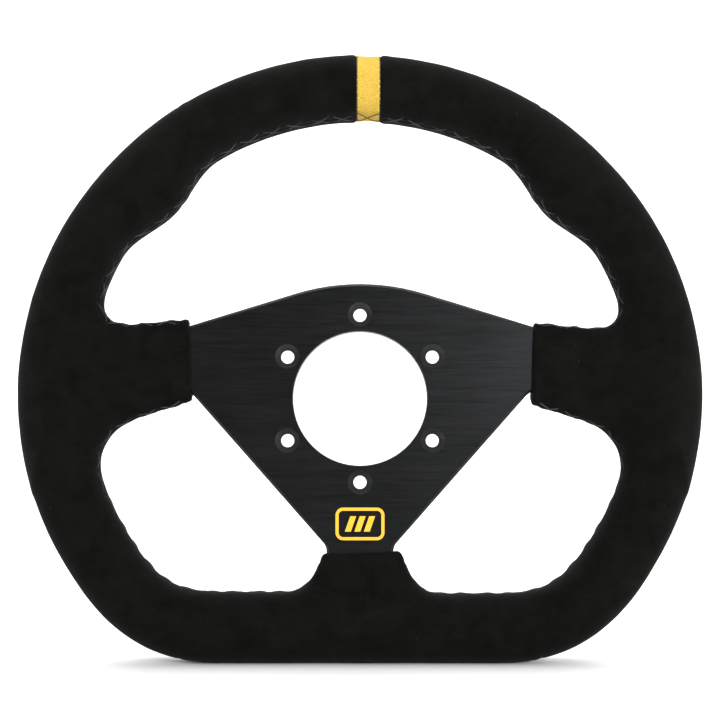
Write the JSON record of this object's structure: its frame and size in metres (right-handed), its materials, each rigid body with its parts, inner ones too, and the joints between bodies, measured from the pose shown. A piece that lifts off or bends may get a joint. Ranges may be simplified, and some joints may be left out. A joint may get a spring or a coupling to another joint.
{
  "type": "steering wheel",
  "caption": "Flat-bottomed round steering wheel with a drilled three-spoke metal plate, suede-covered rim with thumb grips and a yellow centre marker.",
  "frame": {"origin": "hub axis at the plate's back face, where the hub or boss bolts on", "axes": "+Y along the hub axis away from the driver, +Z to 12 o'clock, +X to the driver's right"},
  "size_m": [0.285, 0.03, 0.253],
  "materials": {
    "plate": "brushed and anodised black, satin",
    "tube": "drawn tube, mill finish",
    "rivets": "plain",
    "foam": "moulded polyurethane foam, matt",
    "suede": "black suede, soft nap",
    "marker": "yellow suede, soft nap",
    "thread": "waxed dark grey thread",
    "print": "screen-printed ink"
  },
  "bodies": {
    "root": {"spoke_plate": "plate", "rim_hoop": "tube", "hoop_joiner": "tube", "rivet_left_upper": "rivets", "rivet_left_lower": "rivets", "rivet_right_upper": "rivets", "rivet_right_lower": "rivets", "rivet_bottom_left": "rivets", "rivet_bottom_right": "rivets", "rim_foam": "foam", "cover_left": "suede", "cover_right": "suede", "centre_marker": "marker", "marker_seam_left": "thread", "marker_seam_right": "thread", "lacing_upper_left": "thread", "lacing_upper_right": "thread", "lacing_lower_left": "thread", "lacing_lower_right": "thread", "lacing_marker": "thread", "badge": "print"}
  },
  "joints": []
}
